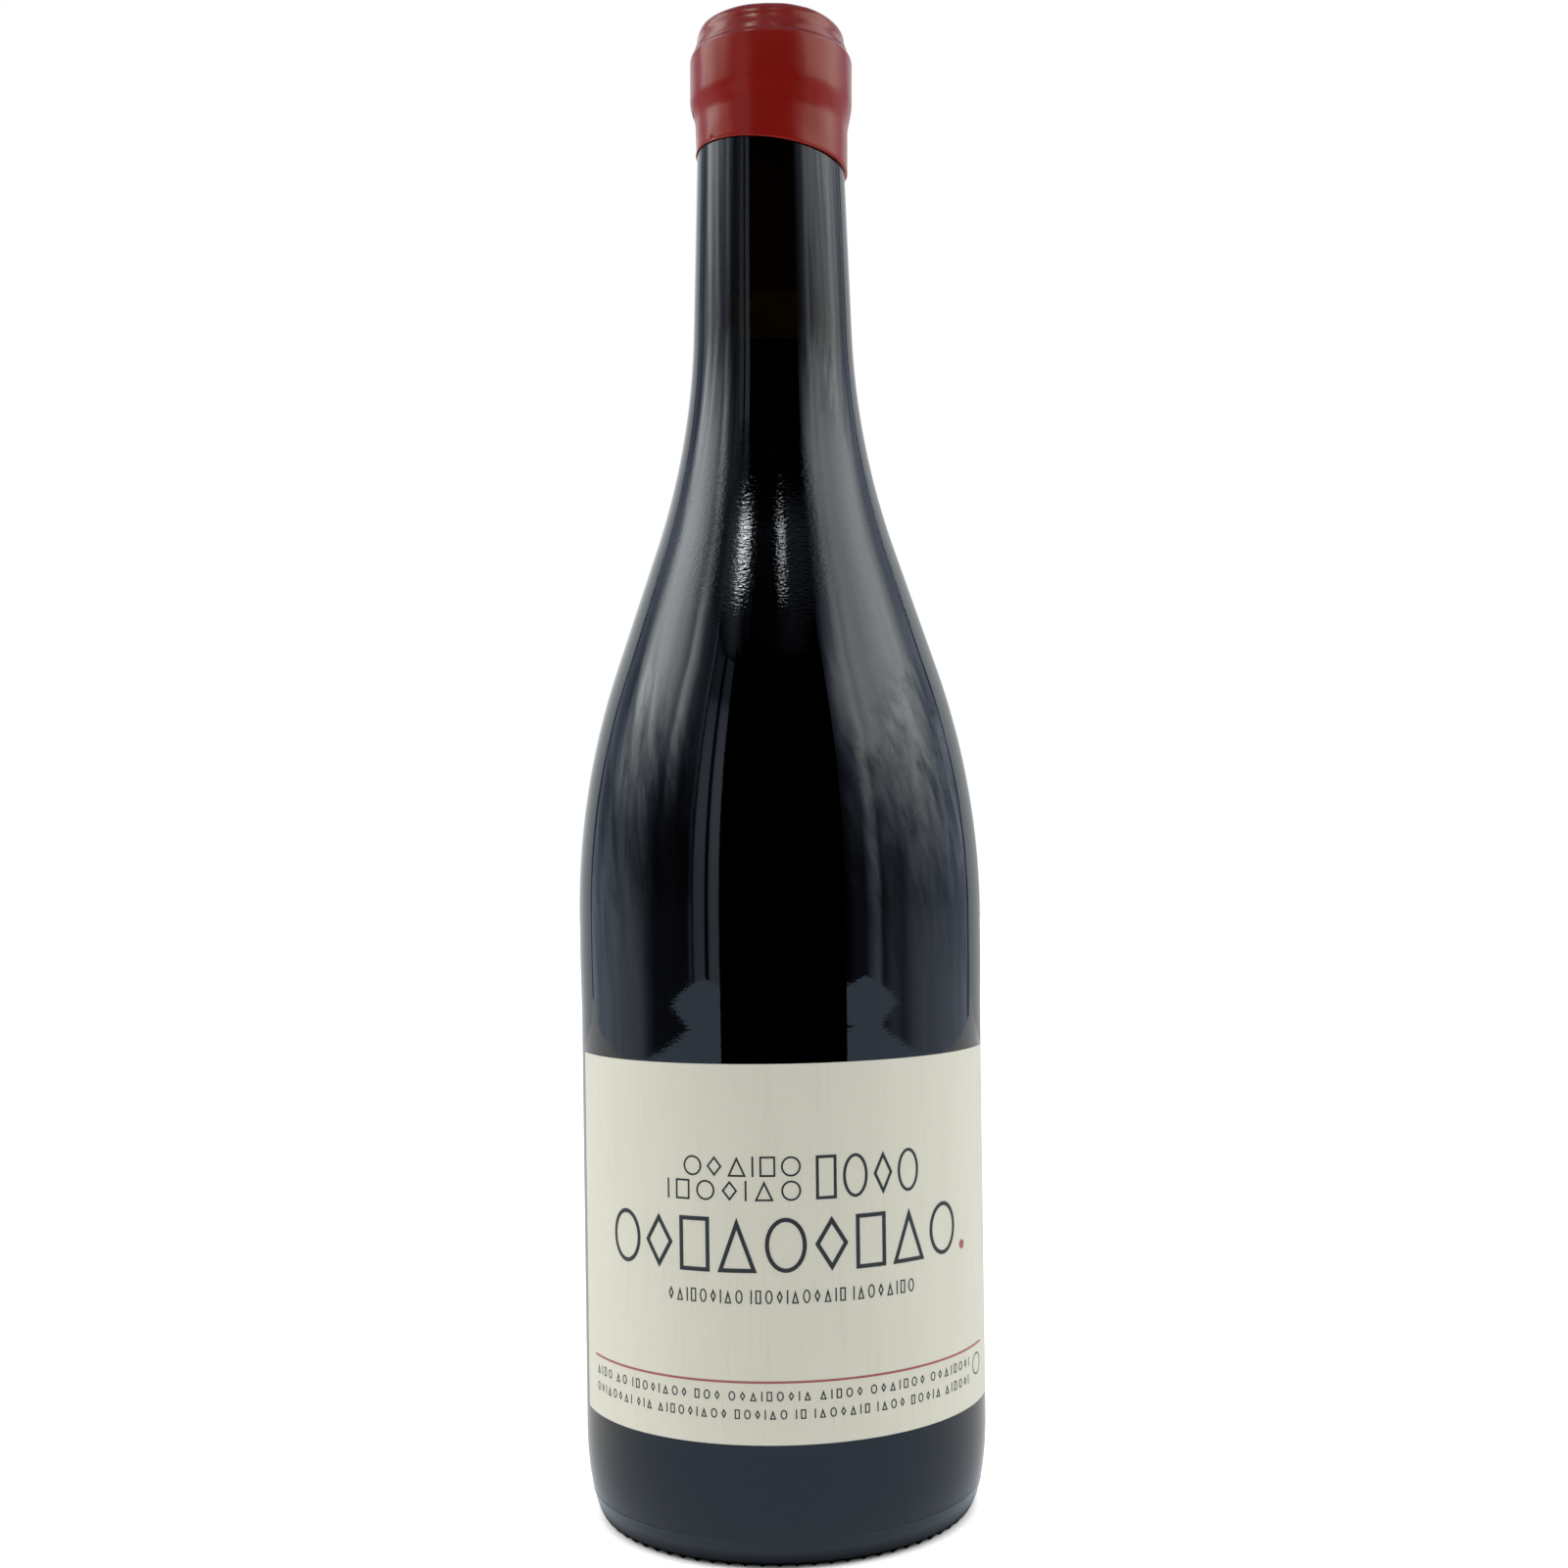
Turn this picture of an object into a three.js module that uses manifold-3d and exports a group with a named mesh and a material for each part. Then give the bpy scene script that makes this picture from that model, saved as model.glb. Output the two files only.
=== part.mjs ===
// A 75 cl wine bottle of the sloping-shouldered Burgundy form: dark glass with a punt and a knurled
// base, red wine, a long cork, a dipped wax seal over the mouth and a paper label.
// Millimetres, +Z up. The origin is the centre of the base, on the surface the bottle stands on.
// The label faces -Y. Angles round the bottle are counted from -Y towards +X.

import * as THREE from 'three';
import { mergeVertices } from 'three/addons/utils/BufferGeometryUtils.js';
import Module from 'manifold-3d';

const wasm = await Module();
wasm.setup();

// Glass, outside. The body is 80.3 mm across and the bare glass 296 mm tall.
const GLASS_HEIGHT = 296;
const BODY_RADIUS = 40.15;
const BEARING_OUTER_RADIUS = 36;
const HEEL_HEIGHT = 18;
const LABEL_PANEL_TOP = 99;
const SHOULDER_BAND_RADIUS = 40.33; // stands a little proud of the label panel
const SHOULDER_BAND_BOTTOM = 111;
const SHOULDER_START = 119;
const SHOULDER_ARC_RADIUS = 152; // bulging arc, and the hollow arc above it
const SHOULDER_SLOPE = THREE.MathUtils.degToRad(18.8); // slope of the straight stretch between them
const SLOPE_LENGTH = 25.4;
const NECK_TAPER = THREE.MathUtils.degToRad(1.87);

// Glass, finish: the ring below the mouth and the lip, both under the wax
const RING_BOTTOM = 279;
const RING_RADIUS = 15.2;
const RING_TOP = 291;
const RING_CHAMFER = 0.8;
const LIP_RADIUS = 13.8;
const LIP_CHAMFER = 0.8;

// Glass, inside
const BODY_WALL = 2.5;
const NECK_WALL = 5.9;
const BORE_RADIUS = 9.25;
const BORE_FOOT_RADIUS = 9.9;
const BORE_FOOT = 240;
const FLOOR_RADIUS = 31; // where the inside of the punt meets the corner of the floor
const FLOOR_HEIGHT = 5;
const FLOOR_CORNER_HEIGHT = 9;

// Base: the punt, and the knurls that the bottle stands on
const PUNT_RADIUS = 34;
const PUNT_DEPTH = 18;
const PUNT_WALL = 6;
const KNURL_COUNT = 72;
const KNURL_GAP_WIDTH = 2.2;
const KNURL_GAP_HEIGHT = 1;
const KNURL_GAP_TOP_SHARE = 0.6; // width of the gap's top, as a share of its foot
const KNURL_INNER_RADIUS = 31.5;

// Wine, cork, wax and label
const WINE_LEVEL = 230.8;
const WINE_GAP = 0.15;
const CORK_BOTTOM = 240.6;
const CORK_LENGTH = 54;
const CORK_GAP = 0.1;
const WAX_GAP = 0.08;
const WAX_TOP = 297.6;
const WAX_FILM_RADIUS = 15.4;
const WAX_SWELL_BOTTOM = 277.4; // the wax swells out over the ring between these heights
const WAX_SWELL_TOP = 282.8;
const WAX_RING_RADIUS = 16.35;
const WAX_RIDGE = 291.8; // where it turns in towards the lip
const WAX_LIP_RADIUS = 14.9;
const WAX_EDGE_HEIGHT = 270.3; // on the axis, as the lower edge is dipped at a slant
const WAX_EDGE_DROP = 1.8; // how far the edge falls on the +X side
const WAX_SPARE = 3.6; // how far the skirt is turned below its edge before the slant is cut
const WAX_TRIM_SIZE = 60; // a block that cuts the slant, wider than the wax
const WAX_ROUNDING = 2.2;
const LABEL_BOTTOM = 23.6;
const LABEL_HEIGHT = 69;
const LABEL_HALF_ANGLE = THREE.MathUtils.degToRad(75); // either side of -Y, where two facets meet
const LABEL_GAP = 0.05;
const LABEL_THICKNESS = 0.16;

// Every turned piece has the same sides, so that neighbouring walls stay parallel.
const FACETS = 60;
const FACET_ANGLE = (2 * Math.PI) / FACETS;
const QUARTER_TURN = Math.PI / 2;

// Straight stretches in each curve of an outline
const BELL_STEPS = 6;
const HEEL_STEPS = 6;
const SHOULDER_STEPS = 5; // in each of the two arcs
const INNER_SHOULDER_STEPS = 3;
const FLOOR_CORNER_STEPS = 3;
const WAX_SWELL_STEPS = 4;
const WAX_RIDGE_STEPS = 3;
const WAX_ROUNDING_STEPS = 3;
const MERGE_DISTANCE = 1e-4;

const GLASS_COLOUR = 0x12160f;
const WINE_COLOUR = 0x2a0610;
const CORK_COLOUR = 0xb98d5c;
const WAX_COLOUR = 0x8e1a1a;
const PAPER_COLOUR = 0xdedbd0;

const point = (radius, height) => new THREE.Vector2(radius, height);

// Points along an ellipse's quarter or less, both ends included; angles in radians from the radius axis.
function ellipseArc(centre, halfWidth, halfHeight, from, to, steps) {
  return Array.from({ length: steps + 1 }, (_, i) => {
    const angle = THREE.MathUtils.lerp(from, to, i / steps);
    return point(centre.x + halfWidth * Math.cos(angle), centre.y + halfHeight * Math.sin(angle));
  });
}

const circleArc = (centre, radius, from, to, steps) =>
  ellipseArc(centre, radius, radius, from, to, steps);

// A smooth step between two radii, used where the wax swells over the ring and the lip.
function swell(fromRadius, fromHeight, toRadius, toHeight, steps) {
  return Array.from({ length: steps + 1 }, (_, i) => {
    const t = i / steps;
    const radius = THREE.MathUtils.lerp(fromRadius, toRadius, THREE.MathUtils.smoothstep(t, 0, 1));
    return point(radius, THREE.MathUtils.lerp(fromHeight, toHeight, t));
  });
}

// The bell of the punt: a raised cosine from the apex down to the rim.
function bell(rimRadius, rimHeight, apexHeight, steps) {
  return Array.from({ length: steps + 1 }, (_, i) => {
    const t = i / steps;
    const rise = ((apexHeight - rimHeight) * (1 + Math.cos(Math.PI * t))) / 2;
    return point(rimRadius * t, rimHeight + rise);
  });
}

// The shoulder's landmarks: two arcs of one radius, joined by a straight slope and met by the neck.
const bulgeCentre = point(SHOULDER_BAND_RADIUS - SHOULDER_ARC_RADIUS, SHOULDER_START);
const slopeFoot = point(
  bulgeCentre.x + SHOULDER_ARC_RADIUS * Math.cos(SHOULDER_SLOPE),
  bulgeCentre.y + SHOULDER_ARC_RADIUS * Math.sin(SHOULDER_SLOPE),
);
const slopeHead = point(
  slopeFoot.x - SLOPE_LENGTH * Math.sin(SHOULDER_SLOPE),
  slopeFoot.y + SLOPE_LENGTH * Math.cos(SHOULDER_SLOPE),
);
const hollowCentre = point(
  slopeHead.x + SHOULDER_ARC_RADIUS * Math.cos(SHOULDER_SLOPE),
  slopeHead.y + SHOULDER_ARC_RADIUS * Math.sin(SHOULDER_SLOPE),
);
const neckFoot = point(
  hollowCentre.x - SHOULDER_ARC_RADIUS * Math.cos(NECK_TAPER),
  hollowCentre.y - SHOULDER_ARC_RADIUS * Math.sin(NECK_TAPER),
);
const neckRadius = (height) => neckFoot.x - (height - neckFoot.y) * Math.tan(NECK_TAPER);

// The outside of the shoulder and neck, from the shoulder band up to the ring.
function shoulderLine(steps) {
  return [
    ...circleArc(bulgeCentre, SHOULDER_ARC_RADIUS, 0, SHOULDER_SLOPE, steps),
    ...circleArc(hollowCentre, SHOULDER_ARC_RADIUS, Math.PI + SHOULDER_SLOPE, Math.PI + NECK_TAPER, steps),
  ];
}

const boreRadius = (height) =>
  THREE.MathUtils.mapLinear(height, BORE_FOOT, GLASS_HEIGHT, BORE_FOOT_RADIUS, BORE_RADIUS);

// The inside of the shoulder: the outside less a wall that thickens towards the neck.
function innerShoulderLine() {
  return shoulderLine(INNER_SHOULDER_STEPS).map((outer) => {
    const t = (outer.y - SHOULDER_START) / (BORE_FOOT - SHOULDER_START);
    return point(outer.x - THREE.MathUtils.lerp(BODY_WALL, NECK_WALL, t ** 3), outer.y);
  });
}

// The hollow of the bottle, from the axis at the floor up to the foot of the bore.
function hollowLine() {
  const innerBodyRadius = SHOULDER_BAND_RADIUS - BODY_WALL;
  return [
    ...bell(FLOOR_RADIUS, FLOOR_HEIGHT, PUNT_DEPTH + PUNT_WALL, BELL_STEPS),
    ...ellipseArc(
      point(FLOOR_RADIUS, FLOOR_HEIGHT + FLOOR_CORNER_HEIGHT),
      innerBodyRadius - FLOOR_RADIUS,
      FLOOR_CORNER_HEIGHT,
      -QUARTER_TURN,
      0,
      FLOOR_CORNER_STEPS,
    ).slice(1),
    ...innerShoulderLine(),
  ];
}

// The finish that the wax covers: the ring, the step to the lip and the lip.
function finishLine() {
  return [
    point(neckRadius(RING_BOTTOM), RING_BOTTOM),
    point(RING_RADIUS, RING_BOTTOM + RING_CHAMFER),
    point(RING_RADIUS, RING_TOP - RING_CHAMFER),
    point(LIP_RADIUS, RING_TOP),
    point(LIP_RADIUS, GLASS_HEIGHT - LIP_CHAMFER),
    point(LIP_RADIUS - LIP_CHAMFER, GLASS_HEIGHT),
  ];
}

function turn(profile) {
  const geometry = new THREE.LatheGeometry(profile, FACETS, FACET_ANGLE / 2);
  return geometry.rotateX(QUARTER_TURN);
}

function toSolid(geometry) {
  const bare = geometry.clone();
  bare.deleteAttribute('normal');
  bare.deleteAttribute('uv');
  const merged = mergeVertices(bare, MERGE_DISTANCE);
  const vertProperties = new Float32Array(merged.attributes.position.array);
  const triVerts = new Uint32Array(merged.index.array);
  return new wasm.Manifold(new wasm.Mesh({ numProp: 3, vertProperties, triVerts }));
}

function toGeometry(solid) {
  const { vertProperties, triVerts } = solid.getMesh();
  const geometry = new THREE.BufferGeometry();
  geometry.setAttribute('position', new THREE.BufferAttribute(vertProperties, 3));
  geometry.setIndex(new THREE.BufferAttribute(triVerts, 1));
  geometry.computeVertexNormals();
  return geometry;
}

function piece(name, geometry, colour, roughness) {
  const material = new THREE.MeshStandardMaterial({ color: colour, roughness, metalness: 0 });
  const mesh = new THREE.Mesh(geometry, material);
  mesh.name = name;
  return mesh;
}

// One arch between two knurls: a prism that runs outwards under the bearing ring along -Y.
function knurlGap() {
  const arch = new THREE.Shape();
  const halfWidth = KNURL_GAP_WIDTH / 2;
  const halfTop = halfWidth * KNURL_GAP_TOP_SHARE;
  arch.moveTo(-halfWidth, -KNURL_GAP_HEIGHT);
  arch.lineTo(halfWidth, -KNURL_GAP_HEIGHT);
  arch.lineTo(halfWidth, 0);
  arch.lineTo(halfTop, KNURL_GAP_HEIGHT);
  arch.lineTo(-halfTop, KNURL_GAP_HEIGHT);
  arch.lineTo(-halfWidth, 0);
  arch.closePath();
  const depth = BODY_RADIUS - KNURL_INNER_RADIUS;
  const geometry = new THREE.ExtrudeGeometry(arch, { depth, bevelEnabled: false });
  return geometry.rotateX(QUARTER_TURN).translate(0, -KNURL_INNER_RADIUS, 0);
}

function glassBottle() {
  const profile = [
    ...bell(PUNT_RADIUS, 0, PUNT_DEPTH, BELL_STEPS),
    ...ellipseArc(
      point(BEARING_OUTER_RADIUS, HEEL_HEIGHT),
      BODY_RADIUS - BEARING_OUTER_RADIUS,
      HEEL_HEIGHT,
      -QUARTER_TURN,
      0,
      HEEL_STEPS,
    ),
    point(BODY_RADIUS, LABEL_PANEL_TOP),
    point(SHOULDER_BAND_RADIUS, SHOULDER_BAND_BOTTOM),
    ...shoulderLine(SHOULDER_STEPS),
    ...finishLine(),
    point(BORE_RADIUS, GLASS_HEIGHT),
    point(BORE_FOOT_RADIUS, BORE_FOOT),
    ...hollowLine().reverse(),
  ];
  let solid = toSolid(turn(profile));
  for (let i = 0; i < KNURL_COUNT; i += 1) {
    const angle = ((i + 0.5) * 2 * Math.PI) / KNURL_COUNT;
    solid = solid.subtract(toSolid(knurlGap().rotateZ(angle)));
  }
  return piece('glass_bottle', toGeometry(solid), GLASS_COLOUR, 0.05);
}

// The hollow's radius at a height in the neck, between the two landmarks on either side of it.
function hollowRadius(height) {
  const line = hollowLine();
  const upper = line.findIndex((p) => p.y >= height);
  const [low, high] = [line[upper - 1], line[upper]];
  return THREE.MathUtils.mapLinear(height, low.y, high.y, low.x, high.x);
}

// Moves a line that runs outwards and then up by a gap to its inner side, square to itself.
function inset(line, gap) {
  return line.map((p, i) => {
    if (i === 0) return point(0, p.y + gap);
    const along = line[Math.min(i + 1, line.length - 1)].clone().sub(line[i - 1]).normalize();
    return point(p.x - along.y * gap, p.y + along.x * gap);
  });
}

function wine() {
  const wetted = hollowLine().filter((p) => p.y < WINE_LEVEL);
  const wall = inset([...wetted, point(hollowRadius(WINE_LEVEL), WINE_LEVEL)], WINE_GAP);
  const profile = [...wall.slice(0, -1), point(wall.at(-1).x, WINE_LEVEL), point(0, WINE_LEVEL)];
  return piece('wine', turn(profile), WINE_COLOUR, 0.1);
}

function cork() {
  const corkTop = CORK_BOTTOM + CORK_LENGTH;
  const profile = [
    point(0, CORK_BOTTOM),
    point(boreRadius(CORK_BOTTOM) - CORK_GAP, CORK_BOTTOM),
    point(boreRadius(corkTop) - CORK_GAP, corkTop),
    point(0, corkTop),
  ];
  return piece('cork', turn(profile), CORK_COLOUR, 0.85);
}

// The dipped wax: a cup that follows the finish inside, fills the mouth down to the cork and swells
// over the ring outside. Its lower edge is cut at a slant.
function waxSeal() {
  const skirtBottom = WAX_EDGE_HEIGHT - WAX_SPARE;
  const corkTop = CORK_BOTTOM + CORK_LENGTH;
  const plugRadius = BORE_RADIUS - CORK_GAP;
  const covered = [point(neckRadius(skirtBottom), skirtBottom), ...finishLine()];
  const ringShoulder = RING_TOP - RING_CHAMFER; // from here up the wax lies over the glass
  const liner = covered.map((p) => point(p.x + WAX_GAP, p.y + (p.y < ringShoulder ? -WAX_GAP : WAX_GAP)));
  const profile = [
    point(0, corkTop + WAX_GAP),
    point(plugRadius, corkTop + WAX_GAP),
    point(plugRadius, GLASS_HEIGHT + WAX_GAP),
    ...liner.reverse(),
    point(WAX_FILM_RADIUS, skirtBottom - WAX_GAP),
    ...swell(WAX_FILM_RADIUS, WAX_SWELL_BOTTOM, WAX_RING_RADIUS, WAX_SWELL_TOP, WAX_SWELL_STEPS),
    ...swell(WAX_RING_RADIUS, WAX_RIDGE, WAX_LIP_RADIUS, WAX_TOP - WAX_ROUNDING, WAX_RIDGE_STEPS),
    ...circleArc(
      point(WAX_LIP_RADIUS - WAX_ROUNDING, WAX_TOP - WAX_ROUNDING),
      WAX_ROUNDING,
      0,
      QUARTER_TURN,
      WAX_ROUNDING_STEPS,
    ).slice(1),
    point(0, WAX_TOP),
  ];
  const slant = Math.atan2(WAX_EDGE_DROP, WAX_FILM_RADIUS);
  const trim = new THREE.BoxGeometry(WAX_TRIM_SIZE, WAX_TRIM_SIZE, WAX_TRIM_SIZE);
  trim.translate(0, 0, -WAX_TRIM_SIZE / 2).rotateY(slant).translate(0, 0, WAX_EDGE_HEIGHT);
  const solid = toSolid(turn(profile)).subtract(toSolid(trim));
  return piece('wax_seal', toGeometry(solid), WAX_COLOUR, 0.25);
}

function paperLabel() {
  const innerRadius = BODY_RADIUS + LABEL_GAP;
  const outerRadius = innerRadius + LABEL_THICKNESS;
  const sides = Math.round((2 * LABEL_HALF_ANGLE) / FACET_ANGLE);
  const angles = Array.from({ length: sides + 1 }, (_, i) => i * FACET_ANGLE - LABEL_HALF_ANGLE);
  const around = (radius) => (angle) => point(radius * Math.sin(angle), -radius * Math.cos(angle));
  const outline = [...angles.map(around(outerRadius)), ...angles.reverse().map(around(innerRadius))];
  const geometry = new THREE.ExtrudeGeometry(new THREE.Shape(outline), {
    depth: LABEL_HEIGHT,
    bevelEnabled: false,
  });
  return piece('paper_label', geometry.translate(0, 0, LABEL_BOTTOM), PAPER_COLOUR, 0.9);
}

const group = new THREE.Group();
group.add(glassBottle(), wine(), cork(), waxSeal(), paperLabel());

export default group;
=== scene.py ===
# %% [markdown]
# A closed bottle of red wine, dressed for the camera. The construction comes in as a fixed frame:
# glass, wine, cork, wax seal and label, each as a plain faceted solid. This notebook remakes each
# of them as a smooth, finely finished piece at the same size and in the same place, then lights
# them.

# %% Load the frame
import math

import bmesh
import bpy
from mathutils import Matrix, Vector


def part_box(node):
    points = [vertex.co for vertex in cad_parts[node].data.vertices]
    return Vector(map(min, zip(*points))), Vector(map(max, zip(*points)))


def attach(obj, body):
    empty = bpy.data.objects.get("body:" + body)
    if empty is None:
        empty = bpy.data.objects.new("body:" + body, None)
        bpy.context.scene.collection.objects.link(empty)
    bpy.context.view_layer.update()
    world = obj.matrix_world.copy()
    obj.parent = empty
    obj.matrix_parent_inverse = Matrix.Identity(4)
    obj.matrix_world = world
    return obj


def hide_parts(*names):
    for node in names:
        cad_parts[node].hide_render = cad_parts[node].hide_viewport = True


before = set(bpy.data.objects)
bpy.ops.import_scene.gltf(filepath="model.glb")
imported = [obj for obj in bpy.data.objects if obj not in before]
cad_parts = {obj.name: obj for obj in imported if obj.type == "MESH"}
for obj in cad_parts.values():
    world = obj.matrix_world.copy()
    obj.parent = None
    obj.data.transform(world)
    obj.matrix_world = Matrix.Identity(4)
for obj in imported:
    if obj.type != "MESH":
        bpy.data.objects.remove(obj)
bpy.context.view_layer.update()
print("frame pieces:", sorted(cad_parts))

# %% [markdown]
# The camera comes first, because every later choice is judged through it. It stands a little left
# of the label's middle, level, at 128 mm above the table and only 372 mm from the bottle's axis, so
# the label's edges curve visibly. A small shift frames the tall bottle without tilting the camera,
# which keeps its sides upright. The slight roll is the hand-held camera's own.

# %% Camera
MM = 0.001
CAMERA_DISTANCE = 371.8 * MM
CAMERA_HEIGHT = 128.4 * MM
CAMERA_SIDE = math.radians(-2.2)  # round the bottle from the middle of the label
CAMERA_TURN = math.radians(4.59)  # to the right of straight ahead
CAMERA_ROLL = math.radians(0.767)

bpy.ops.object.camera_add(
    location=(
        CAMERA_DISTANCE * math.sin(CAMERA_SIDE),
        -CAMERA_DISTANCE * math.cos(CAMERA_SIDE),
        CAMERA_HEIGHT,
    ),
    rotation=(math.radians(90), CAMERA_ROLL, -CAMERA_TURN),
)
camera = bpy.context.active_object
camera.data.sensor_width = 36
camera.data.lens = 42.04
camera.data.shift_x = -0.0462
camera.data.shift_y = 0.0517
camera.data.clip_start = 10 * MM
bpy.context.scene.camera = camera
bpy.context.scene.view_settings.view_transform = "Standard"
print("camera lens", camera.data.lens, "mm")

# %% [markdown]
# Everything on a bottle is turned, so nearly every piece is half an outline, spun round the axis.
# An outline is a list of (radius, height) points. These helpers give its curved stretches.


# %% Outline helpers
def arc(centre, half_width, half_height, start, end, steps):
    """Points along an ellipse. Angles are in degrees from the radius direction."""
    points = []
    for i in range(steps + 1):
        angle = math.radians(start + (end - start) * i / steps)
        points.append(
            (centre[0] + half_width * math.cos(angle), centre[1] + half_height * math.sin(angle))
        )
    return points


def bell(rim_radius, rim_height, apex_height, steps):
    """A raised cosine from the apex on the axis down to the rim."""
    rise = apex_height - rim_height
    return [
        (rim_radius * i / steps, rim_height + rise * (1 + math.cos(math.pi * i / steps)) / 2)
        for i in range(steps + 1)
    ]


def soft_step(low, high, steps):
    """A smooth S between two (radius, height) points, level with the axis at both ends."""
    points = []
    for i in range(steps + 1):
        t = i / steps
        blend = t * t * (3 - 2 * t)
        points.append((low[0] + (high[0] - low[0]) * blend, low[1] + (high[1] - low[1]) * t))
    return points


# %% [markdown]
# To trace, a tiny plane is merged to a single vertex, which is extruded from point to point. Spin
# then sweeps the wire round the axis, doubles are merged where it meets itself and at the poles,
# and the faces are turned to point outwards.


# %% Tracing and spinning
SAME_POINT = 0.001 * MM
MERGE_DISTANCE = 0.002 * MM


def deselect():
    """Object mode, nothing selected: operators act on all that is selected."""
    if bpy.context.mode != "OBJECT":
        bpy.ops.object.mode_set(mode="OBJECT")
    bpy.ops.object.select_all(action="DESELECT")


def pick(piece):
    """Make one object the only selected and active one."""
    deselect()
    piece.select_set(True)
    bpy.context.view_layer.objects.active = piece


def edit_all(piece):
    """Edit mode, with the piece's whole mesh selected."""
    pick(piece)
    bpy.ops.object.mode_set(mode="EDIT")
    bpy.ops.mesh.select_all(action="SELECT")


def leave_edit():
    bpy.ops.object.mode_set(mode="OBJECT")


def name_piece(piece, name):
    piece.name = name
    piece.data.name = name
    return piece


def trace(name, outline):
    """A wire through the outline, standing in the XZ plane."""
    deselect()
    bpy.ops.mesh.primitive_plane_add(size=MM)
    piece = name_piece(bpy.context.active_object, name)
    bpy.ops.object.mode_set(mode="EDIT")
    bpy.ops.mesh.merge(type="CENTER")
    bpy.ops.transform.translate(value=(outline[0][0], 0, outline[0][1]))
    here = outline[0]
    for there in outline[1:]:
        if math.dist(here, there) < SAME_POINT:
            continue
        move = (there[0] - here[0], 0, there[1] - here[1])
        bpy.ops.mesh.extrude_region_move(TRANSFORM_OT_translate={"value": move})
        here = there
    leave_edit()
    return piece


def spin(piece, steps, crease=40):
    """Sweep a traced wire once round the axis and close it."""
    edit_all(piece)
    bpy.ops.mesh.spin(steps=steps, angle=2 * math.pi, center=(0, 0, 0), axis=(0, 0, 1))
    bpy.ops.mesh.select_all(action="SELECT")
    bpy.ops.mesh.remove_doubles(threshold=MERGE_DISTANCE)
    bpy.ops.mesh.normals_make_consistent(inside=False)
    leave_edit()
    bpy.ops.object.shade_smooth_by_angle(angle=math.radians(crease))
    print(piece.name, "faces", len(piece.data.polygons))
    return piece


def select_vertices(piece, wanted):
    """Enter edit mode with just the vertices selected for which wanted(place) is true."""
    pick(piece)
    bpy.ops.object.mode_set(mode="EDIT")
    bpy.ops.mesh.select_mode(type="VERT")
    bpy.ops.mesh.select_all(action="DESELECT")
    mesh = bmesh.from_edit_mesh(piece.data)
    count = 0
    for vertex in mesh.verts:
        if wanted(vertex.co):
            vertex.select = True
            count += 1
    mesh.select_flush_mode()
    bmesh.update_edit_mesh(piece.data)
    return count


def apply_modifiers(piece):
    pick(piece)
    for modifier in list(piece.modifiers):
        bpy.ops.object.modifier_apply(modifier=modifier.name)


# %% [markdown]
# Materials are built from nodes. The first helper sets the Principled shader's constant numbers and
# hands back the node tree, so that each finish below only adds what varies over its surface.


# %% Material helpers
def new_material(name, **sockets):
    material = bpy.data.materials.new(name)
    material.use_nodes = True
    shader = material.node_tree.nodes["Principled BSDF"]
    for socket, value in sockets.items():
        shader.inputs[socket.replace("_", " ")].default_value = value
    return material, material.node_tree, shader


def add_node(tree, kind, **settings):
    """A node with its settings: attributes by name, and input sockets as in_Scale=4."""
    node = tree.nodes.new(kind)
    for key, value in settings.items():
        if key.startswith("in_"):
            node.inputs[key[3:].replace("_", " ")].default_value = value
        else:
            setattr(node, key, value)
    return node


def noise(tree, scale, detail=2.0, stretch=(1, 1, 1), source="Object"):
    """Noise from 0 to 1 over coordinates that are multiplied by stretch."""
    place = add_node(tree, "ShaderNodeTexCoord")
    mapping = add_node(tree, "ShaderNodeMapping", in_Scale=stretch)
    tree.links.new(place.outputs[source], mapping.inputs["Vector"])
    texture = add_node(tree, "ShaderNodeTexNoise", in_Scale=scale, in_Detail=detail)
    tree.links.new(mapping.outputs["Vector"], texture.inputs["Vector"])
    return texture.outputs["Fac"]


def separate(tree, vector, axis):
    split = add_node(tree, "ShaderNodeSeparateXYZ")
    tree.links.new(vector, split.inputs[0])
    return split.outputs[axis]


def along(tree, axis):
    """How far along X, Y or Z a point of the piece lies, in metres."""
    return separate(tree, add_node(tree, "ShaderNodeTexCoord").outputs["Object"], axis)


def spread(tree, value, low, high, start=0.0, end=1.0, interpolation="LINEAR"):
    """A value between start and end mapped to the range from low to high."""
    span = add_node(
        tree,
        "ShaderNodeMapRange",
        interpolation_type=interpolation,
        in_From_Min=start,
        in_From_Max=end,
        in_To_Min=low,
        in_To_Max=high,
    )
    tree.links.new(value, span.inputs["Value"])
    return span.outputs["Result"]


def paint(tree, shader, share, dark, light, socket="Base Color"):
    """A colour between two, by a share from 0 to 1, on one of the shader's sockets."""
    tint = add_node(tree, "ShaderNodeMix", data_type="RGBA")
    tint.inputs[6].default_value = (*dark, 1)
    tint.inputs[7].default_value = (*light, 1)
    tree.links.new(share, tint.inputs[0])
    tree.links.new(tint.outputs[2], shader.inputs[socket])


def levels(tree, value, stops):
    """A value from 0 to 1 turned into a level, straight between (place, level) stops."""
    ramp = add_node(tree, "ShaderNodeValToRGB")
    elements = ramp.color_ramp.elements
    elements[0].position, elements[1].position = stops[0][0], stops[-1][0]
    for place, _ in stops[1:-1]:
        elements.new(place)
    for element, (_, level) in zip(elements, stops):
        element.color = (level, level, level, 1)
    tree.links.new(value, ramp.inputs["Fac"])
    return ramp.outputs["Color"]


def combine(tree, operation, first, second):
    """Arithmetic on two values, each an output or a plain number."""
    node = add_node(tree, "ShaderNodeMath", operation=operation)
    for socket, value in zip(node.inputs, (first, second)):
        if isinstance(value, (int, float)):
            socket.default_value = value
        else:
            tree.links.new(value, socket)
    return node.outputs[0]


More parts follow.
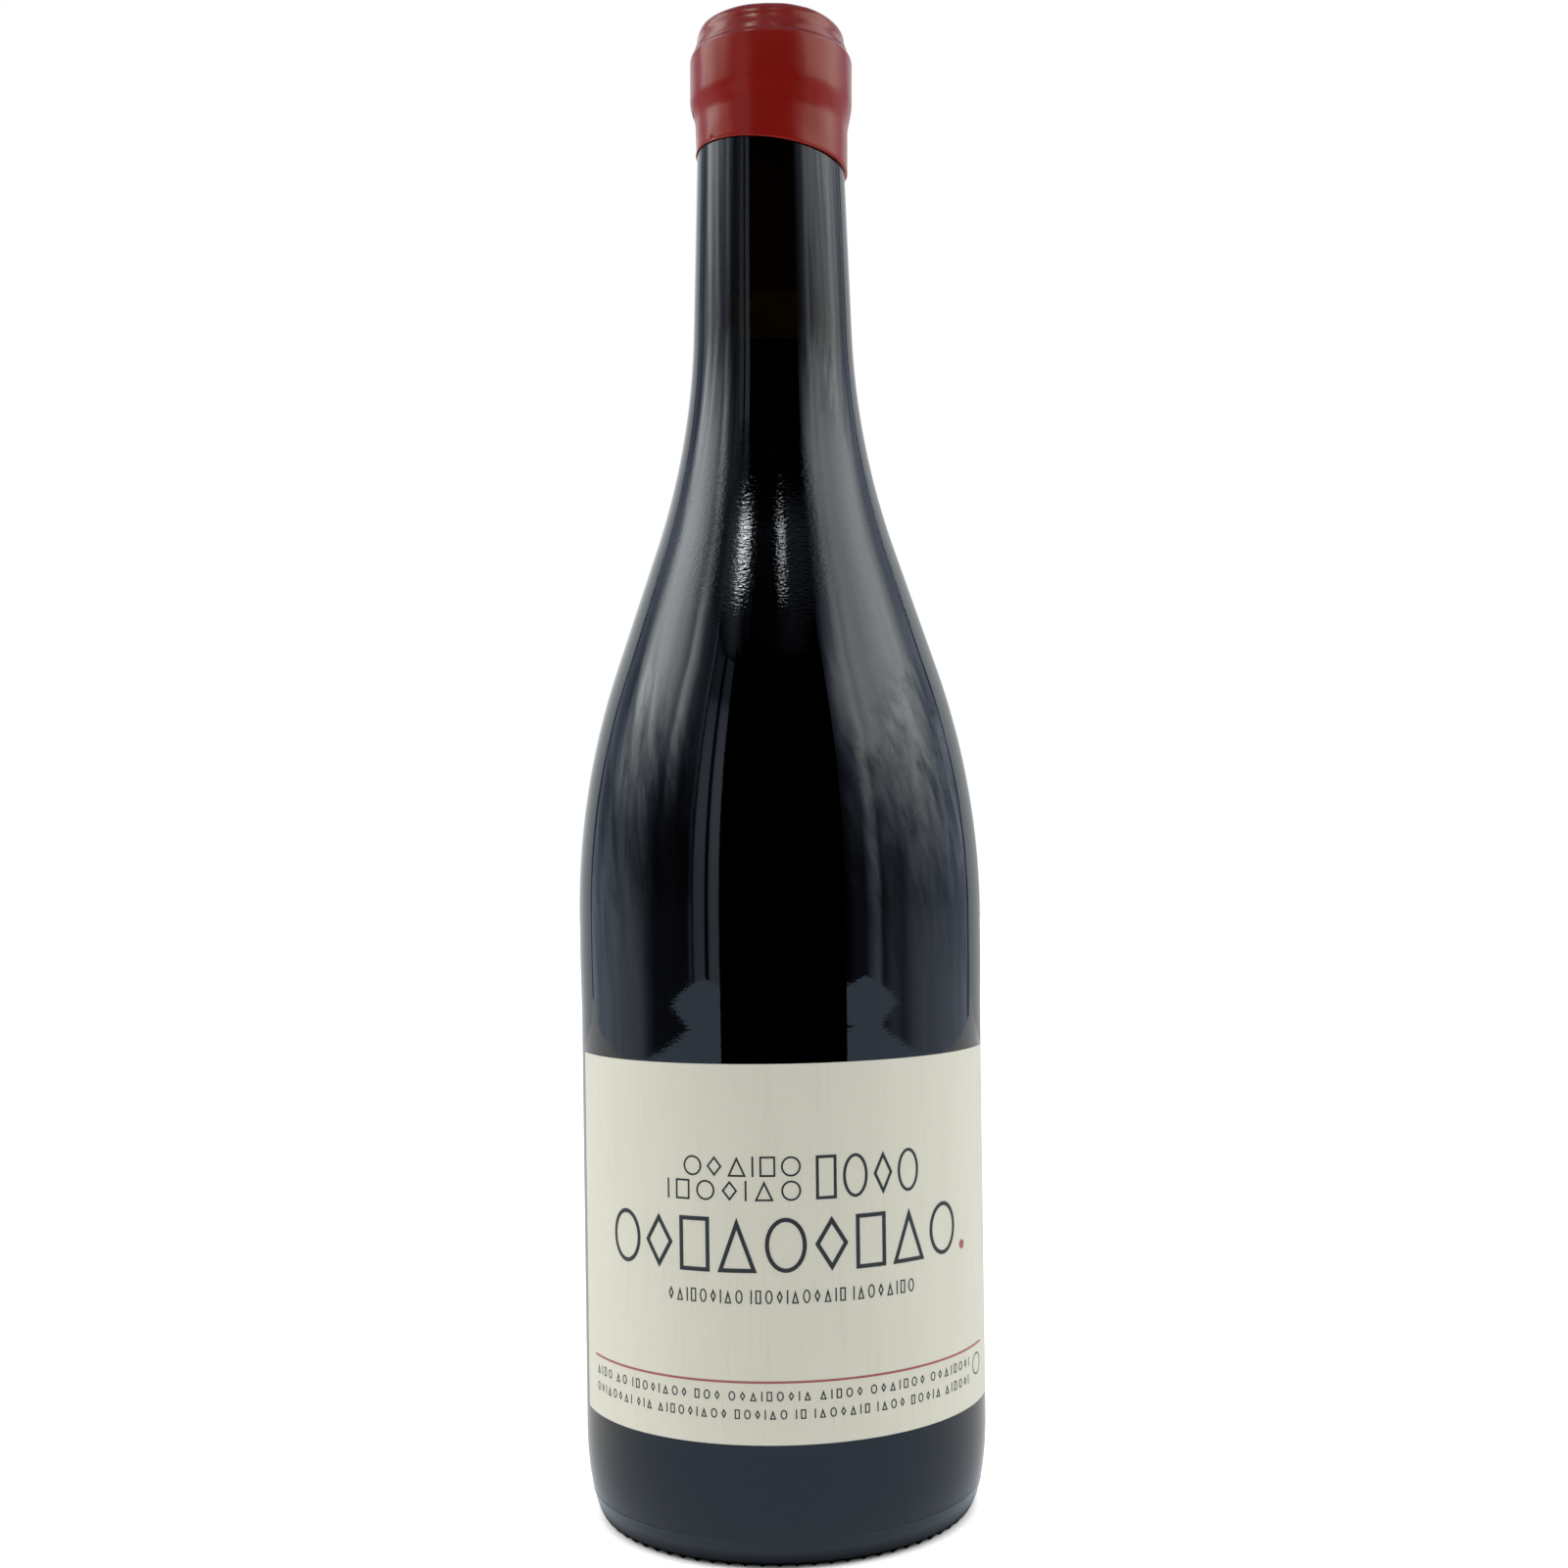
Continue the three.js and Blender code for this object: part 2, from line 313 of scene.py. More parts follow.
def bump(tree, shader, height, distance, below=None):
    """Relief on the shader, in metres, laid over an earlier bump where one is given."""
    node = add_node(tree, "ShaderNodeBump", in_Distance=distance)
    tree.links.new(height, node.inputs["Height"])
    if below is not None:
        tree.links.new(below, node.inputs["Normal"])
    tree.links.new(node.outputs["Normal"], shader.inputs["Normal"])
    return node.outputs["Normal"]


def dress(piece, material, node):
    """Give a piece its finish, hang it under the root body and hide the frame piece it stands for.
    """
    piece.data.materials.clear()
    piece.data.materials.append(material)
    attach(piece, "root")
    if node:
        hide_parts(node)


# %% [markdown]
# The glass. Its outside runs from the apex of the punt, over the knurled ring it stands on, round
# the heel and up the body. A shoulder band stands a hair proud of the label panel, and above it two
# long arcs of one radius, joined by a straight slope, make the sloping Burgundy shoulder.

# %% Glass dimensions
GLASS_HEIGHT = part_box("glass_bottle")[1].z
BODY_RADIUS = 40.15 * MM
BEARING_RADIUS = 36 * MM
HEEL_HEIGHT = 18 * MM
LABEL_PANEL_TOP = 99 * MM
BAND_RADIUS = 40.33 * MM
BAND_BOTTOM = 111 * MM
SHOULDER_START = 119 * MM
SHOULDER_RADIUS = 152 * MM
SHOULDER_SLOPE = math.radians(18.8)
SLOPE_LENGTH = 25.4 * MM
NECK_TAPER = math.radians(1.87)


def stride(start, length, angle):
    """The (radius, height) point that far from another, at an angle from the radius."""
    return (start[0] + length * math.cos(angle), start[1] + length * math.sin(angle))


bulge_centre = (BAND_RADIUS - SHOULDER_RADIUS, SHOULDER_START)
slope_foot = stride(bulge_centre, SHOULDER_RADIUS, SHOULDER_SLOPE)
slope_head = (
    slope_foot[0] - SLOPE_LENGTH * math.sin(SHOULDER_SLOPE),
    slope_foot[1] + SLOPE_LENGTH * math.cos(SHOULDER_SLOPE),
)
hollow_centre = stride(slope_head, SHOULDER_RADIUS, SHOULDER_SLOPE)
neck_foot = stride(hollow_centre, -SHOULDER_RADIUS, NECK_TAPER)


def neck_radius(height):
    return neck_foot[0] - (height - neck_foot[1]) * math.tan(NECK_TAPER)


def shoulder_line(steps):
    """The outside, from the shoulder band to the foot of the neck."""
    slope, taper = math.degrees(SHOULDER_SLOPE), math.degrees(NECK_TAPER)
    bulge = arc(bulge_centre, SHOULDER_RADIUS, SHOULDER_RADIUS, 0, slope, steps)
    hollow = arc(hollow_centre, SHOULDER_RADIUS, SHOULDER_RADIUS, 180 + slope, 180 + taper, steps)
    return bulge + hollow


print("neck radius at its foot", round(neck_foot[0] / MM, 2), "mm")

# %% [markdown]
# The inside follows the outside less a wall of 2.5 mm in the body, which thickens to nearly 6 mm in
# the neck. The bore that holds the cork is almost straight. The floor rises over the punt.

# %% Inside of the glass
BODY_WALL = 2.5 * MM
NECK_WALL = 5.9 * MM
BORE_RADIUS = 9.25 * MM
BORE_FOOT_RADIUS = 9.9 * MM
BORE_FOOT = 240 * MM
FLOOR_RADIUS = 31 * MM
FLOOR_HEIGHT = 5 * MM
FLOOR_CORNER_HEIGHT = 9 * MM
PUNT_RADIUS = 34 * MM
PUNT_DEPTH = 18 * MM
PUNT_WALL = 6 * MM
HOLLOW_STEPS = 14  # in each stretch of the inside's outline


def hollow_line(steps):
    """The inside, from the axis at the floor up to the foot of the bore."""
    line = bell(FLOOR_RADIUS, FLOOR_HEIGHT, PUNT_DEPTH + PUNT_WALL, steps)
    corner_width = BAND_RADIUS - BODY_WALL - FLOOR_RADIUS
    corner = (FLOOR_RADIUS, FLOOR_HEIGHT + FLOOR_CORNER_HEIGHT)
    line += arc(corner, corner_width, FLOOR_CORNER_HEIGHT, -90, 0, steps)
    for radius, height in shoulder_line(steps):
        t = (height - SHOULDER_START) / (BORE_FOOT - SHOULDER_START)
        line.append((radius - BODY_WALL - (NECK_WALL - BODY_WALL) * t**3, height))
    return line


def hollow_radius(height):
    """The inside's radius at a height in the shoulder, neck or bore."""
    line = hollow_line(16) + [(BORE_FOOT_RADIUS, BORE_FOOT), (BORE_RADIUS, GLASS_HEIGHT)]
    for low, high in zip(line, line[1:]):
        if low[1] < height <= high[1]:
            return low[0] + (high[0] - low[0]) * (height - low[1]) / (high[1] - low[1])
    raise ValueError(height)


# %% [markdown]
# The heel carries a fine raised line, 5.8 mm up, where the plate under the mould met its sides. It
# is a bump a tenth of a millimetre high in the outline, so reflections run over it unbroken.

# %% Heel and finish outlines
SEAM_HEIGHT = 5.8 * MM
SEAM_WIDTH = 0.7 * MM
SEAM_RELIEF = 0.065 * MM
SEAM_STEPS = 8
heel_centre = (BEARING_RADIUS, HEEL_HEIGHT)
heel_width = BODY_RADIUS - BEARING_RADIUS


def heel_angle(height):
    return math.degrees(math.asin((height - HEEL_HEIGHT) / HEEL_HEIGHT))


def heel_line():
    seam_low = heel_angle(SEAM_HEIGHT - SEAM_WIDTH / 2)
    seam_high = heel_angle(SEAM_HEIGHT + SEAM_WIDTH / 2)
    low = arc(heel_centre, heel_width, HEEL_HEIGHT, -90, seam_low, 16)
    seam = arc(heel_centre, heel_width, HEEL_HEIGHT, seam_low, seam_high, SEAM_STEPS)
    high = arc(heel_centre, heel_width, HEEL_HEIGHT, seam_high, 0, 12)
    ridge = []
    for i, (radius, height) in enumerate(seam):
        relief = SEAM_RELIEF * math.sin(math.pi * i / SEAM_STEPS) ** 2
        ridge.append((radius + relief, height - relief / 2))
    return low + ridge[1:-1] + high


RING_BOTTOM = 279 * MM
RING_RADIUS = 15.2 * MM
RING_TOP = 291 * MM
LIP_RADIUS = 13.8 * MM
EDGE = 0.8 * MM


def finish_line():
    """The ring below the mouth and the lip, both under the wax."""
    return [
        (neck_radius(RING_BOTTOM), RING_BOTTOM),
        (RING_RADIUS, RING_BOTTOM + EDGE),
        (RING_RADIUS, RING_TOP - EDGE),
        (LIP_RADIUS, RING_TOP),
        (LIP_RADIUS, GLASS_HEIGHT - EDGE),
        (LIP_RADIUS - EDGE, GLASS_HEIGHT),
    ]


# %% Trace and spin the glass
glass_outline = bell(PUNT_RADIUS, 0, PUNT_DEPTH, 28)
glass_outline += heel_line()
glass_outline += [(BODY_RADIUS, LABEL_PANEL_TOP * i / 4) for i in (1, 2, 3, 4)]
glass_outline += soft_step((BODY_RADIUS, LABEL_PANEL_TOP), (BAND_RADIUS, BAND_BOTTOM), 6)
glass_outline += shoulder_line(26)
glass_outline += finish_line()
glass_outline += [(BORE_RADIUS, GLASS_HEIGHT), (BORE_FOOT_RADIUS, BORE_FOOT)]
glass_outline += reversed(hollow_line(HOLLOW_STEPS))

glass = spin(trace("bottle_glass", glass_outline), 360, crease=30)

# %% [markdown]
# The bottle stands on 72 small knurls, so that the hot new glass touches a conveyor in few places.
# The spin left a column of vertices at every degree. Between two knurls, the columns below the
# gap's height are flattened up to it, fully in the middle of the gap and partly beside it, which is
# what scaling a selection about a fixed height does.

# %% Knurls
KNURL_PITCH = 5  # degrees
GAP_HEIGHT = 1.0 * MM
GAP_COLUMNS = {1: 0.55, 2: 0.0, 3: 0.0, 4: 0.55}  # column in the pitch, and the height it keeps
COLUMN_REACH = 0.3  # degrees
BELOW_GAP = GAP_HEIGHT - 0.01 * MM


def in_column(place, column):
    degrees = math.degrees(math.atan2(place.y, place.x)) % KNURL_PITCH
    return abs(degrees - column) < COLUMN_REACH and place.z < BELOW_GAP


for column, keep in GAP_COLUMNS.items():
    found = select_vertices(glass, lambda place: in_column(place, column))
    bpy.ops.transform.resize(value=(1, 1, keep), center_override=(0, 0, GAP_HEIGHT))
    leave_edit()
    print("gap column", column, "vertices", found)

# %% [markdown]
# Dark olive glass is clear glass that swallows light. This wall lets a thirtieth through at most,
# with more red and green than blue, so two walls with nothing between them are a very dark olive
# brown, and with wine behind them black. What the eye sees is therefore almost all gloss: the
# shader is full transmission with a dark tint, a long lazy ripple left by the blow mould, and a far
# finer grain, strongest on the shoulder's slope, that breaks up small bright reflections. The neck
# mirrors two fifths less than the body. Places along the height are shares of the whole.

# %% Glass finish
glass_material, tree, shader = new_material(
    "dark_olive_glass",
    Base_Color=(0.03, 0.023, 0.006, 1),
    Roughness=0.015,
    IOR=1.52,
    Transmission_Weight=1.0,
)
ripple = noise(tree, 95, 1.0, (1, 1, 0.22))
grain = noise(tree, 1300, 2.0, (1, 1, 1.6))
share = combine(tree, "DIVIDE", along(tree, "Z"), GLASS_HEIGHT)
slope_stops = [(0.0, 0.05), (0.585, 0.05), (0.62, 1.0), (0.69, 1.0), (0.73, 0.05), (1.0, 0.05)]
coarse = levels(tree, share, slope_stops)
dull = levels(tree, share, [(0.0, 1.0), (0.71, 1.0), (0.79, 0.6), (1.0, 0.6)])
tree.links.new(dull, shader.inputs["Specular Tint"])
rippled = bump(tree, shader, ripple, 0.022 * MM)
bump(tree, shader, combine(tree, "MULTIPLY", grain, coarse), 0.034 * MM, below=rippled)
dress(glass, glass_material, "glass_bottle")

# %% [markdown]
# Above the wine, the wall of the bore gets a dull olive film in place of clear glass. Its olive is
# painted light: it stands in for light from behind shining through both walls of the neck as a
# faint olive band, though the film is also lit for real through the glass. It keeps the wall from
# mirroring the room. The film has no thickness of its own, so it is a second material on the faces
# of that wall.

# %% Film in the bore
FILM_FOOT = 200 * MM
FILM_REACH = BORE_FOOT_RADIUS + NECK_WALL / 2  # half-way through the neck's wall
backlight_film_material, tree, shader = new_material("painted_backlight_film", Roughness=0.8, Specular_IOR_Level=0.0)
streaks = noise(tree, 300, stretch=(1, 1, 0.3))
# Painted light: the olive stands in for light from behind showing through the neck.
paint(tree, shader, streaks, (0.15, 0.115, 0.009), (0.21, 0.165, 0.013))
glass.data.materials.append(backlight_film_material)
filmed = 0
for face in glass.data.polygons:
    if face.center.z > FILM_FOOT and face.center.xy.length < FILM_REACH:
        face.material_index = 1
        filmed += 1
print("faces with painted backlight film", filmed)

# %% [markdown]
# The wine fills the hollow and reaches a tenth of a millimetre into the wall, because an air gap
# between liquid and glass would show as a silver skin. At its top it climbs the glass in a small
# meniscus. In this depth red wine is all but black.

# %% Wine
WINE_OVERLAP = 0.1 * MM
MENISCUS_WIDTH = 2.2 * MM
MENISCUS_RISE = 0.9 * MM
wine_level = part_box("wine")[1].z
wine_radius = hollow_radius(wine_level) + WINE_OVERLAP
wine_outline = [
    (radius + (WINE_OVERLAP if radius > 0 else 0), height - WINE_OVERLAP)
    for radius, height in hollow_line(HOLLOW_STEPS)
    if height < wine_level
]
meniscus_foot = (wine_radius - MENISCUS_WIDTH, wine_level)
wine_outline += reversed(soft_step(meniscus_foot, (wine_radius, wine_level + MENISCUS_RISE), 8))
wine_outline.append((0, wine_level))
wine = spin(trace("wine_fill", wine_outline), 128)

wine_material, tree, shader = new_material(
    "red_wine_body", Roughness=0.06, IOR=1.34, Specular_IOR_Level=0.1
)
depth = noise(tree, 40)
paint(tree, shader, depth, (0.016, 0.0008, 0.0018), (0.022, 0.0012, 0.0026))
dress(wine, wine_material, "wine")
print("wine level", round(wine_level / MM, 1), "mm")

# %% [markdown]
# The cork is a plain cylinder with eased ends, squeezed into the bore: a tan that wine has stained
# brown, with darker flecks and pores. Through the glass it only just shows.

# %% Cork
CORK_SQUEEZE = 0.03 * MM
CORK_EASE = 0.6 * MM
cork_low, cork_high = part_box("cork")


def cork_radius(height):
    return hollow_radius(height) + CORK_SQUEEZE


cork_outline = [
    (0, cork_low.z),
    (cork_radius(cork_low.z) - CORK_EASE, cork_low.z),
    (cork_radius(cork_low.z + CORK_EASE), cork_low.z + CORK_EASE),
    (cork_radius(cork_high.z - CORK_EASE), cork_high.z - CORK_EASE),
    (cork_radius(cork_high.z) - CORK_EASE, cork_high.z),
    (0, cork_high.z),
]
cork = spin(trace("cork_stopper", cork_outline), 96)

cork_material, tree, shader = new_material("natural_cork", Roughness=0.85)
flecks = noise(tree, 420, 4.0, (1, 1, 2.2))
paint(tree, shader, flecks, (0.03, 0.015, 0.007), (0.10, 0.06, 0.033))
bump(tree, shader, flecks, 0.15 * MM)
dress(cork, cork_material, "cork")

# %% [markdown]
# The wax seal. The neck was dipped, so the wax is a thin film on the neck, swells softly over the
# glass ring, turns in at a rounded ridge towards the lip, and sinks a little over the mouth. Its
# outline is drawn as one closed loop, outside and in, with a rounded lower edge.

# %% Wax outline
wax_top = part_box("wax_seal")[1].z
WAX_SKIN = 0.03 * MM
WAX_EDGE_HEIGHT = 270.3 * MM
WAX_EDGE_DROP = 1.8 * MM
WAX_FILM_RADIUS = 15.4 * MM
WAX_SWELL_BOTTOM = 277.4 * MM
WAX_SWELL_TOP = 282.8 * MM
WAX_RING_RADIUS = 16.35 * MM
WAX_RIDGE = 291.8 * MM
RIDGE_ROUNDING = 1.2 * MM
RIDGE_SWEEP = 58  # degrees of its arc
WAX_LIP_RADIUS = 14.9 * MM
LIP_ROUNDING = 2.6 * MM
WAX_DISH = 0.5 * MM
FILM_LEVELS = (0.8, 1.6, 2.6, 3.8, 5.2)  # mm above the edge, for the slant to turn
INSIDE_LEVEL = 4 * MM  # above the edge
RING_LEVELS = (285, 288)  # mm
STEP_IN = 0.12 * MM  # from the end of the ridge's arc to where the slope to the lip starts
STEP_UP = 0.25 * MM

film_inside = neck_radius(WAX_EDGE_HEIGHT) + WAX_SKIN
film_middle = (film_inside + WAX_FILM_RADIUS) / 2
film_half = (WAX_FILM_RADIUS - film_inside) / 2
wax_outline = [
    (0, cork_high.z + WAX_SKIN),
    (BORE_RADIUS - WAX_SKIN, cork_high.z + WAX_SKIN),
    (BORE_RADIUS - WAX_SKIN, GLASS_HEIGHT + WAX_SKIN),
]
for radius, height in reversed(finish_line()):
    lift = WAX_SKIN if height > RING_TOP - EDGE / 2 else -WAX_SKIN
    wax_outline.append((radius + WAX_SKIN, height + lift))
wax_outline.append((film_inside, WAX_EDGE_HEIGHT + INSIDE_LEVEL))
wax_outline += arc((film_middle, WAX_EDGE_HEIGHT + film_half), film_half, film_half, 180, 360, 6)
wax_outline += [(WAX_FILM_RADIUS, WAX_EDGE_HEIGHT + rise * MM) for rise in FILM_LEVELS]
wax_outline += soft_step((WAX_FILM_RADIUS, WAX_SWELL_BOTTOM), (WAX_RING_RADIUS, WAX_SWELL_TOP), 14)
wax_outline += [(WAX_RING_RADIUS, level * MM) for level in RING_LEVELS]
ridge_centre = (WAX_RING_RADIUS - RIDGE_ROUNDING, WAX_RIDGE - RIDGE_ROUNDING)
wax_outline += arc(ridge_centre, RIDGE_ROUNDING, RIDGE_ROUNDING, 0, RIDGE_SWEEP, 8)
ridge_end = wax_outline[-1]
lip_centre = (WAX_LIP_RADIUS - LIP_ROUNDING, wax_top - LIP_ROUNDING)
slope_start = (ridge_end[0] - STEP_IN, ridge_end[1] + STEP_UP)
wax_outline += soft_step(slope_start, (WAX_LIP_RADIUS, lip_centre[1]), 8)
wax_outline += arc(lip_centre, LIP_ROUNDING, LIP_ROUNDING, 0, 90, 8)
wax_outline += reversed(soft_step((0, wax_top - WAX_DISH), (lip_centre[0], wax_top), 8))

wax = spin(trace("dipped_wax", wax_outline), 192, crease=75)

# %% [markdown]
# The wax ran a little thicker on the right, so its outside moves that way and its inside stays. The
# bottle went into the wax at a slant, so the edge is lower on its right. Each level of vertices
# near the edge is turned a little about the axis that runs away from the camera, the lowest most.
# Then a Displace modifier with a clouds texture gives the outside the soft unevenness of wax that
# set on a cool neck. It acts on the outer skin only, through a vertex group.

# %% Slant and unevenness
WAX_LEAN = 0.28 * MM
SLANT_RISE = 12 * MM  # from the edge up to where the slant has faded out
WAVE_SIZE = 9 * MM
WAVE_RELIEF = 0.35 * MM


def on_outside(place):
    inside = RING_RADIUS if place.z < RING_TOP + EDGE / 4 else LIP_RADIUS
    return place.xy.length > inside + 0.1 * MM or place.z > GLASS_HEIGHT + EDGE / 2


print("wax outside, vertices:", select_vertices(wax, on_outside))
bpy.ops.transform.translate(value=(WAX_LEAN, 0, 0))
leave_edit()

slant = math.atan2(WAX_EDGE_DROP, WAX_FILM_RADIUS)
slant_top = WAX_EDGE_HEIGHT + SLANT_RISE
heights = sorted({round(vertex.co.z / MM, 3) * MM for vertex in wax.data.vertices})
for level in [height for height in heights if height < slant_top]:
    share = (slant_top - level) / (slant_top - WAX_EDGE_HEIGHT)
    select_vertices(wax, lambda place: abs(place.z - level) < MERGE_DISTANCE)
    bpy.ops.transform.rotate(value=-slant * share, orient_axis="Y", center_override=(0, 0, level))
leave_edit()

skin = wax.vertex_groups.new(name="skin")
outer = [
    vertex.index
    for vertex in wax.data.vertices
    if vertex.normal.xy.dot(vertex.co.xy) > 0 or vertex.co.z > GLASS_HEIGHT + 0.5 * MM
]
skin.add(outer, 1.0, "REPLACE")
clouds = bpy.data.textures.new("wax_clouds", "CLOUDS")
clouds.noise_scale = WAVE_SIZE
waves = wax.modifiers.new("waves", "DISPLACE")
waves.texture = clouds
waves.texture_coords = "LOCAL"
waves.vertex_group = "skin"
waves.mid_level = 0.5
waves.strength = WAVE_RELIEF
apply_modifiers(wax)
print("wax slant", round(math.degrees(slant), 2), "degrees, outer vertices", len(outer))

# %% Wax finish
wax_material, tree, shader = new_material(
    "red_sealing_wax",
    IOR=1.45,
    Specular_IOR_Level=0.43,
    Specular_Tint=(1.0, 0.93, 0.72, 1),
    Subsurface_Weight=0.12,
    Subsurface_Radius=(1.0, 0.15, 0.1),
    Subsurface_Scale=1.2 * MM,
)
mottle = noise(tree, 160, 3.0, (1, 1, 0.6))
paint(tree, shader, mottle, (0.19, 0.0056, 0.0038), (0.255, 0.0092, 0.0056))
tree.links.new(spread(tree, mottle, 0.18, 0.3), shader.inputs["Roughness"])
fine = noise(tree, 900)
bump(tree, shader, fine, 0.004 * MM)
dress(wax, wax_material, "wax_seal")

# %% [markdown]
# The label is made flat, as paper is, and then bent round the bottle. A plane gets slightly rounded
# corners, is cut into narrow upright strips so that it can follow the curve, and gets the paper's
# thickness. The Simple Deform modifier bends it: the angle is the label's width over the radius,
# and afterwards the sheet moves out from the axis by that radius.


# %% Flat work and bending helpers
label_low, label_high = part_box("paper_label")
LABEL_RADIUS = BODY_RADIUS + 0.05 * MM
LABEL_HALF_ANGLE = math.radians(75)
LABEL_THICKNESS = 0.16 * MM
label_width = 2 * LABEL_HALF_ANGLE * LABEL_RADIUS
label_height = label_high.z - label_low.z


def flat_plate(name, width, height, middle=(0, 0)):
    """A flat rectangle that faces the camera, its middle at (across, up)."""
    deselect()
    bpy.ops.mesh.primitive_plane_add(
        size=1, location=(middle[0], 0, middle[1]), rotation=(math.radians(90), 0, 0)
    )
    plate = name_piece(bpy.context.active_object, name)
    plate.scale = (width, height, 1)
    bpy.ops.object.transform_apply(location=True, rotation=True, scale=True)
    return plate


def cut_upright(piece, spacing):
    """Cut flat work with upright lines, so that it can bend."""
    pick(piece)
    across = [vertex.co.x for vertex in piece.data.vertices]
    first, last = min(across), max(across)
    bpy.ops.object.mode_set(mode="EDIT")
    count = max(1, round((last - first) / spacing))
    for i in range(1, count):
        bpy.ops.mesh.select_all(action="SELECT")
        place = (first + (last - first) * i / count, 0, 0)
        bpy.ops.mesh.bisect(plane_co=place, plane_no=(1, 0, 0))
    leave_edit()


def wrap(piece, radius):
    """Bend flat work round the axis at a radius, facing outwards."""
    across = [vertex.co.x for vertex in piece.data.vertices]
    bend = piece.modifiers.new("bend", "SIMPLE_DEFORM")
    bend.deform_method = "BEND"
    bend.deform_axis = "Z"
    bend.angle = (max(across) - min(across)) / radius
    apply_modifiers(piece)
    edit_all(piece)
    bpy.ops.transform.translate(value=(0, -radius, 0))
    leave_edit()


def thicken(piece, thickness):
    """Give flat work its thickness, out from the face it shows."""
    solid = piece.modifiers.new("thickness", "SOLIDIFY")
    solid.thickness = thickness
    solid.offset = 1
    apply_modifiers(piece)


# %% Label
CORNER = 0.8 * MM
LABEL_STRIP = 1.0 * MM
label = flat_plate("label_sheet", label_width, label_height, (0, label_low.z + label_height / 2))
edit_all(label)
bpy.ops.mesh.bevel(offset=CORNER, segments=4, affect="VERTICES")
cut_upright(label, LABEL_STRIP)
thicken(label, LABEL_THICKNESS)
wrap(label, LABEL_RADIUS)
pick(label)
bpy.ops.object.shade_smooth_by_angle(angle=math.radians(30))
print("label", round(label_width / MM, 1), "x", round(label_height / MM, 1), "mm")

# %% [markdown]
# The paper is an uncoated laid stock. Fine upright ribs less than half a millimetre apart run
# through it, unevenly, with broader pale streaks behind them and a few faint creases across. They
# follow the label's own UV map, so they stay upright and evenly spaced round the curve.

# %% Paper finish
RIB_PITCH = 0.42 * MM
paper_material, tree, shader = new_material("laid_label_paper", Roughness=0.75)
across_ribs = label_width / RIB_PITCH
ribs = noise(tree, 1.0, 1.0, (across_ribs, 6, 1), "UV")
streaks = noise(tree, 1.0, 2.0, (34, 1.6, 1), "UV")
fibres = noise(tree, 1.0, 3.0, (160, 110, 1), "UV")
creases = noise(tree, 1.0, 2.0, (1.4, 9, 1), "UV")
shade = spread(tree, combine(tree, "ADD", ribs, streaks), -0.5, 0.5)
paint(tree, shader, shade, (0.605, 0.572, 0.465), (0.68, 0.648, 0.533))
creased = bump(tree, shader, creases, 0.12 * MM)
ribbed = bump(tree, shader, ribs, 0.03 * MM, below=creased)
bump(tree, shader, fibres, 0.008 * MM, below=ribbed)
dress(label, paper_material, "paper_label")

# %% [markdown]
# The print is plain ornament: rows of small open shapes in thin black line, a red dot and a red
# rule. Each kind of shape is modelled once, as a circle primitive with few or many sides, inset by
# the line's width, with the middle removed. A row copies the kinds it needs, each copy with its own
# mesh, spaces them over its length and joins them. Then all black ink becomes one piece.

# %% Marks
MARK_SIDES = {"o": 32, "v": 4, "t": 3, "u": 4}  # ring, lozenge, triangle, square
MARK_TURN = {"o": 0, "v": 0, "t": 0, "u": 45}
MARK_WIDTH = {"o": 0.98, "v": 0.8, "t": 0.95, "u": 0.78, "i": 0.12, " ": 0.0}  # times the height


def open_mark(kind, height, line, narrow):
    """One open shape, its lower left corner at the origin."""
    width = MARK_WIDTH[kind] * height * narrow
    if kind == "i":
        return flat_plate("mark", line, height, (line / 2, height / 2))
    deselect()
    bpy.ops.mesh.primitive_circle_add(
        vertices=MARK_SIDES[kind], radius=height / 2, fill_type="NGON"
    )
    mark = name_piece(bpy.context.active_object, "mark")
    bpy.ops.object.mode_set(mode="EDIT")
    turn = math.radians(MARK_TURN[kind])
    bpy.ops.transform.rotate(value=turn, orient_axis="Z", center_override=(0, 0, 0))
    bpy.ops.transform.rotate(value=math.radians(-90), orient_axis="X", center_override=(0, 0, 0))
    leave_edit()
    low, high = extent(mark)
    pick(mark)
    bpy.ops.object.mode_set(mode="EDIT")
    bpy.ops.transform.translate(value=(-low[0], 0, -low[2]))
    stretch = (width / (high[0] - low[0]), 1, height / (high[2] - low[2]))
    bpy.ops.transform.resize(value=stretch, center_override=(0, 0, 0))
    bpy.ops.mesh.inset(thickness=line)
    bpy.ops.mesh.delete(type="FACE")
    leave_edit()
    return mark


def extent(piece):
    places = [vertex.co for vertex in piece.data.vertices]
    low = [min(place[axis] for place in places) for axis in range(3)]
    high = [max(place[axis] for place in places) for axis in range(3)]
    return low, high


def row_of_marks(pattern, left, right, base, height, line, narrow):
    """Copies of the kinds in the pattern, spread evenly from left to right."""
    wanted = sorted(set(pattern) - {" "})
    kinds = {kind: open_mark(kind, height, line, narrow) for kind in wanted}
    widths = [MARK_WIDTH[kind] * height * narrow for kind in pattern]
    gap = (right - left - sum(widths)) / max(1, len(pattern) - 1)
    copies = []
    place = left
    for kind, width in zip(pattern, widths):
        if kind != " ":
            mark = kinds[kind].copy()
            mark.data = kinds[kind].data.copy()
            mark.location = (place, 0, base)
            bpy.context.scene.collection.objects.link(mark)
            copies.append(mark)
        place += width + gap
    for mark in kinds.values():
        bpy.data.objects.remove(mark)
    return copies


def words(groups, start):
    """A pattern of mark kinds in groups of the given lengths."""
    order = "ovtiuovit"
    pattern = []
    for group in groups:
        pattern.append("".join(order[(start + i) % len(order)] for i in range(group)))
        start += group + 2
    return " ".join(pattern)


def join_marks(name, marks):
    """One piece from many, its place in its mesh."""
    deselect()
    for mark in marks:
        mark.select_set(True)
    bpy.context.view_layer.objects.active = marks[0]
    bpy.ops.object.transform_apply(location=True, rotation=True, scale=True)
    bpy.ops.object.join()
    return name_piece(bpy.context.active_object, name)


